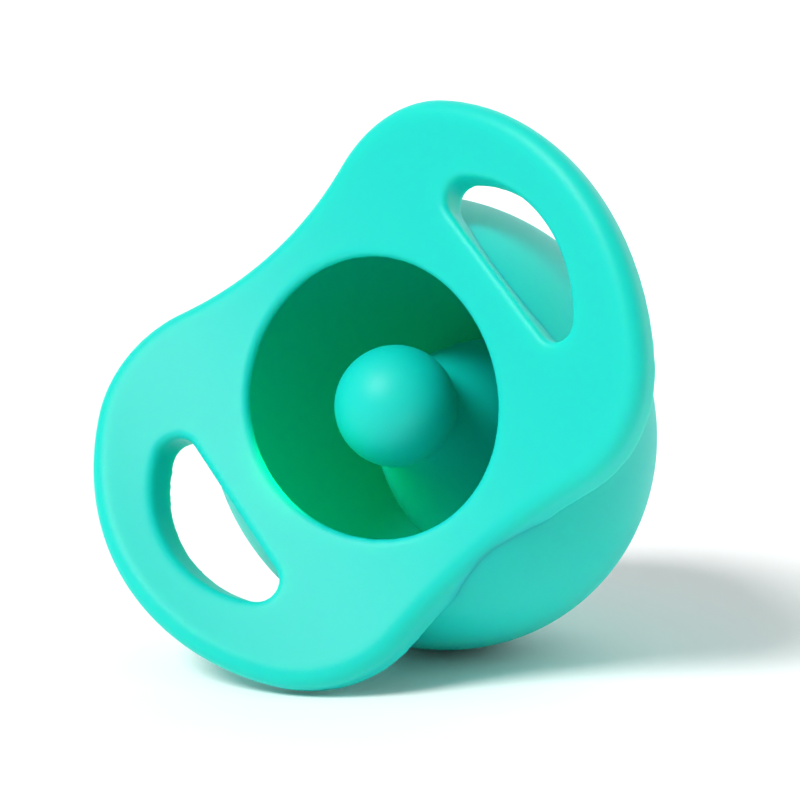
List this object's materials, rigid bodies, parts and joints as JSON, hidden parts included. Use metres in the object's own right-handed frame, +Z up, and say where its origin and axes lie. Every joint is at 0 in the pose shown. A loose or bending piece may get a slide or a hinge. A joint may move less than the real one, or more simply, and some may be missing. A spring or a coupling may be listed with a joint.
{
  "type": "pacifier",
  "caption": "One-piece silicone pacifier with a butterfly shield, a hollow spherical bubble and a ball-tipped nipple that pops forward through the mouth opening.",
  "frame": {"origin": "on the surface it lies on, below the middle of its plan box, as it lies on the bubble and the lower lobe", "axes": "+Z up, the mouth side faces -Y and looks up by 19 degrees, and the shield's long axis rises to +X at 45.5 degrees"},
  "size_m": [0.0558, 0.0476, 0.0536],
  "materials": {
    "silicone": "satin"
  },
  "bodies": {
    "guard": {"shield": "silicone", "bubble_skirt": "silicone", "bubble_roll": "silicone"},
    "nipple": {"bubble_crown": "silicone", "nipple_root": "silicone", "nipple_neck": "silicone", "nipple_bulb": "silicone"}
  },
  "joints": [
    {"name": "nipple_pop", "type": "slide", "parent": "guard", "child": "nipple", "axis": [0, -0.9451, 0.3267], "range_m": [0, 0.028], "deforming": ["bubble_roll"]}
  ]
}
